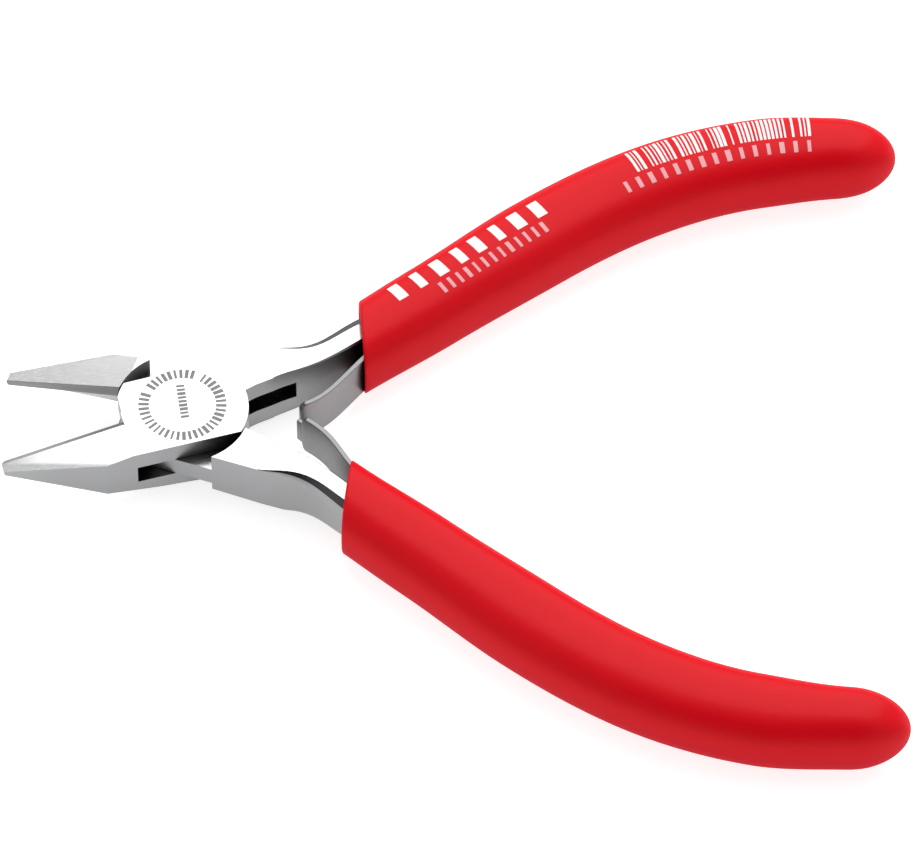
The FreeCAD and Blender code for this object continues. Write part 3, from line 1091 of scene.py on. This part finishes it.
def row_of_blocks_tree() -> bpy.types.GeometryNodeTree:
    """Blocks set across a path, dropped onto a surface below and printed a hair's breadth proud of it.

    Returns:
        The tree. Its start mesh is the path, as edges, held flat above the surface.
    """
    g = geometry_tree("row_of_blocks", {
        "Surface": "NodeSocketObject", "Count": "NodeSocketInt", "Across": "NodeSocketFloat",
        "Along": "NodeSocketFloat", "Thickness": "NodeSocketFloat", "Spread": "NodeSocketFloat",
        "Keep": "NodeSocketFloat", "Keep Shift": "NodeSocketInt", "Seed": "NodeSocketInt",
        "Path Height": "NodeSocketFloat", "Proud": "NodeSocketFloat",
        "Sunk": "NodeSocketFloat", "Finish": "NodeSocketMaterial"})
    given = g.tree.nodes["in"].outputs
    curve = g.feed(g.add("GeometryNodeMeshToCurve"), {"Mesh": given["Geometry"]})
    spots = g.feed(g.add("GeometryNodeCurveToPoints", mode="COUNT"), {
        "Curve": curve.outputs[0], "Count": given["Count"]})
    bends = {"Vertices X": 3, "Vertices Y": 12, "Vertices Z": 2}
    rows = set_blocks(g, spots.outputs["Points"], spots.outputs["Tangent"], bends,
                      {"X": given["Along"], "Y": given["Across"], "Z": given["Thickness"]}, "X")
    real = g.feed(g.add("GeometryNodeRealizeInstances"), {0: rows.outputs[0]})
    surface = g.feed(g.add("GeometryNodeObjectInfo", transform_space="RELATIVE"), {
        "Object": given["Surface"]})
    drop = g.feed(g.add("GeometryNodeRaycast"), {
        "Target Geometry": surface.outputs["Geometry"], "Ray Direction": (0.0, 0.0, -1.0),
        "Ray Length": 0.1})
    height = g.split(g.add("GeometryNodeInputPosition").outputs[0])["Z"]
    upper = g.math("GREATER_THAN", height, given["Path Height"])
    span = g.math("ADD", given["Proud"], given["Sunk"])
    lift = g.math("SUBTRACT", g.math("MULTIPLY", upper, span), given["Sunk"])
    offset = g.feed(g.add("ShaderNodeVectorMath", operation="SCALE"), {
        0: drop.outputs["Hit Normal"], "Scale": lift})
    moved = g.feed(g.add("GeometryNodeSetPosition"), {
        "Geometry": real.outputs[0], "Position": drop.outputs["Hit Position"], "Offset": offset.outputs[0]})
    return paint(g, moved.outputs[0])


def ring_of_ticks_tree() -> bpy.types.GeometryNodeTree:
    """Radial ticks round the pivot, each a thin block lying on the ground face.

    Returns:
        The tree. Its start mesh is replaced.
    """
    g = geometry_tree("ring_of_ticks", {
        "Count": "NodeSocketInt", "Radius": "NodeSocketFloat", "Length": "NodeSocketFloat",
        "Width": "NodeSocketFloat", "Spread": "NodeSocketFloat", "Keep": "NodeSocketFloat",
        "Keep Shift": "NodeSocketInt", "Thickness": "NodeSocketFloat", "Level": "NodeSocketFloat",
        "Aside": "NodeSocketFloat",
        "Seed": "NodeSocketInt", "Finish": "NodeSocketMaterial"})
    given = g.tree.nodes["in"].outputs
    circle = g.feed(g.add("GeometryNodeMeshCircle"), {
        "Vertices": given["Count"], "Radius": given["Radius"]})
    ticks = set_blocks(g, circle.outputs[0], g.add("GeometryNodeInputPosition").outputs[0], {},
                       {"X": given["Length"], "Y": given["Width"], "Z": given["Thickness"]}, "Y")
    raised = g.feed(g.add("ShaderNodeCombineXYZ"), {"Y": given["Aside"], "Z": given["Level"]})
    lifted = g.feed(g.add("GeometryNodeTranslateInstances"), {
        "Instances": ticks.outputs[0], "Translation": raised.outputs[0], "Local Space": False})
    real = g.feed(g.add("GeometryNodeRealizeInstances"), {0: lifted.outputs[0]})
    return paint(g, real.outputs[0])


@dataclass(frozen=True)
class PrintRow:
    """One row of plain blocks, in mm, in the upper member's frame: where it runs and how each is sized."""

    name: str
    across: float
    along: float
    count: int
    spread: float
    keep: float
    seed: int
    x_from: float = 0.0
    x_to: float = 0.0
    offset: float = 0.0
    thin: bool = False


@dataclass
class Marks:
    """The etched ring on the joint and the white print on the upper sleeve, all plain blocks."""

    ring_r: float = 4.40
    ring_aside: float = 0.35
    tick: float = 1.20
    tick_width: float = 0.36
    tick_count: int = 42
    tick_spread: float = 0.35
    tick_keep: float = 0.9
    tick_seed: int = 11
    tick_shift: int = 3  # the draw that leaves ticks out uses the seed plus this
    block_shift: int = 7
    block_t: float = 0.2
    face_half: float = 5.0
    face_t: float = 0.5
    proud: float = 0.012
    sunk: float = 0.05
    path_height: float = 0.02
    column: tuple[tuple[float, float], tuple[float, float]] = ((-0.35, 3.0), (0.35, -1.3))
    column_row: PrintRow = PrintRow("etched_column", 0.95, 0.34, 9, 0.25, 1.0, 8)
    rows: tuple[PrintRow, ...] = (
        PrintRow("bars", 3.5, 0.25, 46, 0.60, 0.80, 12, 59.4, 80.2, 1.75),
        PrintRow("fine_dashes", 1.5, 0.52, 15, 0.25, 1.0, 2, 57.2, 79.6, -1.35, thin=True),
        PrintRow("bold_blocks_a", 2.5, 1.25, 4, 0.16, 1.0, 4, 28.4, 36.6, 1.45),
        PrintRow("bold_blocks_b", 2.5, 1.25, 4, 0.16, 1.0, 9, 39.0, 47.0, 1.45),
        PrintRow("thin_dashes", 1.5, 0.42, 13, 0.25, 1.0, 6, 32.6, 46.2, -1.15, thin=True),
    )

    def ring(self, finishes: Finishes) -> list[bpy.types.Object]:
        """Make the ring of ticks and the small column of dashes inside it.

        Args:
            finishes: the materials.

        Returns:
            The pieces.
        """
        ring = grow("etched_ring", ring_of_ticks_tree(), bpy.data.meshes.new("ring_start"), {
            "Count": self.tick_count, "Radius": self.ring_r * MM, "Length": self.tick * MM,
            "Width": self.tick_width * MM, "Spread": self.tick_spread, "Keep": self.tick_keep,
            "Keep Shift": self.tick_shift, "Seed": self.tick_seed,
            "Thickness": 2 * self.proud * MM, "Level": JOINT_T * MM, "Aside": self.ring_aside * MM,
            "Finish": finishes.etch})
        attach(ring, Side.UPPER.body)
        path = [Vector((x * MM, y * MM, self.path_height)) for x, y in self.column]
        r = self.face_half
        square = ((-r, -r), (r, -r), (r, r), (-r, r))
        corners = [(x, y, z) for z in (JOINT_T - self.face_t, JOINT_T) for x, y in square]
        face = new_mesh("joint_face", [Vector(c) * MM for c in corners], [
            (3, 2, 1, 0), (4, 5, 6, 7), (0, 1, 5, 4), (1, 2, 6, 5), (2, 3, 7, 6), (3, 0, 4, 7)])
        column = self.row(row_of_blocks_tree(), self.column_row, path, face, finishes.etch, Slot.STEEL)
        bpy.data.objects.remove(face)
        return [ring, column]

    def prints(self, sleeve: Sleeve, surface: bpy.types.Object,
               finishes: Finishes) -> list[bpy.types.Object]:
        """Make the rows of print.

        Args:
            sleeve: the sleeve's shape.
            surface: the sleeve itself.
            finishes: the materials.

        Returns:
            The pieces.
        """
        tree = row_of_blocks_tree()
        lengths = np.linspace(0, sleeve.end, 2000)
        line = sleeve.centre(lengths)
        made = []
        for row in self.rows:
            first, last = (lengths[np.argmax(line[:, 0] > x)] for x in (row.x_from, row.x_to))
            s = np.linspace(first, last, 40)
            ahead = sleeve.centre(s + 0.05) - sleeve.centre(s - 0.05)
            ahead /= np.linalg.norm(ahead, axis=1)[:, None]
            path = sleeve.centre(s) + np.column_stack([-ahead[:, 1], ahead[:, 0]]) * row.offset
            placed = sleeve.side.place(np.column_stack([path, np.full(len(path), self.path_height / MM)]))
            ink = finishes.thin_ink if row.thin else finishes.ink
            made.append(self.row(tree, row, placed, surface, ink, Slot.VINYL))
        return made

    def row(self, tree: bpy.types.GeometryNodeTree, row: PrintRow, path: Sequence[Sequence[float]],
            surface: bpy.types.Object, material: bpy.types.Material, slot: Slot) -> bpy.types.Object:
        """Lay one row of blocks on a surface that belongs to the upper member.

        Args:
            tree: the blocks' tree.
            row: the blocks.
            path: the row's line above the surface, in metres.
            surface: what it lies on.
            material: the blocks' finish.
            slot: the record's slot, which is not used.

        Returns:
            The piece.
        """
        start = bpy.data.meshes.new(f"{row.name}_path")
        start.from_pydata([tuple(p) for p in path], [(i, i + 1) for i in range(len(path) - 1)], [])
        piece = grow(f"print_{row.name}", tree, start, {
            "Surface": surface, "Count": row.count, "Across": row.across * MM, "Along": row.along * MM,
            "Thickness": self.block_t * MM, "Spread": row.spread, "Keep": row.keep,
            "Keep Shift": self.block_shift, "Seed": row.seed, "Path Height": self.path_height,
            "Proud": self.proud * MM, "Sunk": self.sunk * MM, "Finish": material})
        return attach(piece, Side.UPPER.body)


# ---------------------------------------------------------------------------------------------- studio


@dataclass
class Studio:
    """A white floor, big soft lights and the camera. Places are metres."""

    floor_z: float = -0.0009
    target: tuple[float, float, float] = (0.031186, 0.000897, 0.0037)
    azimuth: float = 1.15
    elevation: float = 53.0
    distance: float = 1.2
    lens: float = 415.98
    tent_level: float = 0.75
    gap_level: float = 0.04
    gap_span: Span = (0.70, 0.94)  # cosine of the angle from the camera, edge to middle of the gap
    floor_half: float = 3.0
    floor_tone: Span = (0.66, 0.68)
    floor_glow: float = 0.8

    def build(self) -> None:
        """Make the floor, the lights, the surround and the camera."""
        self.floor()
        self.softbox("back_sky", (0.17, 0.79, 0.89), (0.03, 0.0, 0.0), 1.3, 13.8)
        self.tent()
        bpy.context.scene.view_settings.view_transform = "Standard"
        self.camera()

    @property
    def ahead(self) -> Vector:
        """The way the camera looks."""
        a, e = math.radians(self.azimuth), math.radians(self.elevation)
        return Vector((-math.sin(a) * math.cos(e), math.cos(a) * math.cos(e), -math.sin(e)))

    def tent(self) -> None:
        """Put up the even white surround, with the dark gap that the camera looks through."""
        world = bpy.data.worlds.new("white_tent")
        world.use_nodes = True
        n = Nodes(world.node_tree)
        towards = n.feed(n.add("ShaderNodeVectorMath", operation="DOT_PRODUCT"), {
            0: n.add("ShaderNodeTexCoord").outputs["Generated"], 1: tuple(-self.ahead)})
        gap = n.ramp(towards.outputs["Value"], self.gap_span, (self.tent_level, self.gap_level), soft=True)
        backdrop = world.node_tree.nodes["Background"]
        backdrop.inputs["Color"].default_value = (1.0, 1.0, 1.0, 1.0)
        n.feed(backdrop, {"Strength": gap})
        bpy.context.scene.world = world

    def floor(self) -> None:
        """Make the floor."""
        r, z = self.floor_half, self.floor_z
        floor = new_mesh("floor", [(-r, -r, z), (r, -r, z), (r, r, z), (-r, r, z)], [(0, 1, 2, 3)])
        n, shader, where = start_material("white_floor")
        tone = n.ramp(n.noise(where, 3.0), (0.0, 1.0), self.floor_tone)
        n.feed(shader, {"Base Color": tone, "Roughness": 0.7, "Emission Color": (1.0, 1.0, 1.0, 1.0),
                        "Emission Strength": self.floor_glow})
        floor.data.materials.append(bpy.data.materials["white_floor"])

    @staticmethod
    def softbox(name: str, place: tuple[float, float, float], aim: tuple[float, float, float], size: float,
                power: float) -> None:
        """Hang one square light.

        Args:
            name: its name.
            place: where it hangs.
            aim: the point it faces.
            size: its side.
            power: in watts.
        """
        light = bpy.data.lights.new(name, "AREA")
        light.energy, light.size, light.shape = power, size, "SQUARE"
        lamp = bpy.data.objects.new(name, light)
        lamp.location = place
        lamp.rotation_euler = (Vector(aim) - Vector(place)).to_track_quat("-Z", "Y").to_euler()
        bpy.context.collection.objects.link(lamp)

    def camera(self) -> None:
        """Place the camera."""
        data = bpy.data.cameras.new("camera")
        data.sensor_width, data.lens = 36.0, self.lens
        data.clip_start, data.clip_end = 0.05, 20.0
        camera = bpy.data.objects.new("camera", data)
        camera.location = Vector(self.target) - self.ahead * self.distance
        camera.rotation_euler = self.ahead.to_track_quat("-Z", "Y").to_euler()
        bpy.context.collection.objects.link(camera)
        bpy.context.scene.camera = camera


def main() -> None:
    """Load the frame, build every piece on it and set the stage."""
    logging.basicConfig(level=logging.INFO, format="%(message)s")
    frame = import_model()
    finishes = Finishes()
    forgings = Forgings()
    pieces = [forgings.half(side, finishes, frame) for side in Side]
    pieces.append(forgings.rivet(finishes))
    sleeves = [Sleeve(Side.UPPER, mouth_x=22.5, end_r=90.35), Sleeve(Side.LOWER, mouth_x=21.3, end_r=91.55)]
    skins = [sleeve.build(finishes) for sleeve in sleeves]
    pieces += skins
    springs = [
        LeafSpring(Side.UPPER, ((12.95, -3.00), (14.93, -2.62), (18.25, -0.95), (21.60, 1.30))),
        LeafSpring(Side.LOWER, ((13.35, -3.70), (14.60, -3.30), (17.00, -2.05), (20.30, 0.55)),
                   lip=(12.40, -4.15)),
    ]
    for spring in springs:
        pieces += [spring.strip(finishes), spring.rivet(finishes)]
    marks = Marks()
    pieces += marks.ring(finishes)
    pieces += marks.prints(sleeves[0], skins[0], finishes)
    for piece in pieces:
        log.info("%s: %d faces", piece.name, len(piece.data.polygons))
    Studio().build()


if __name__ == "__main__":
    main()
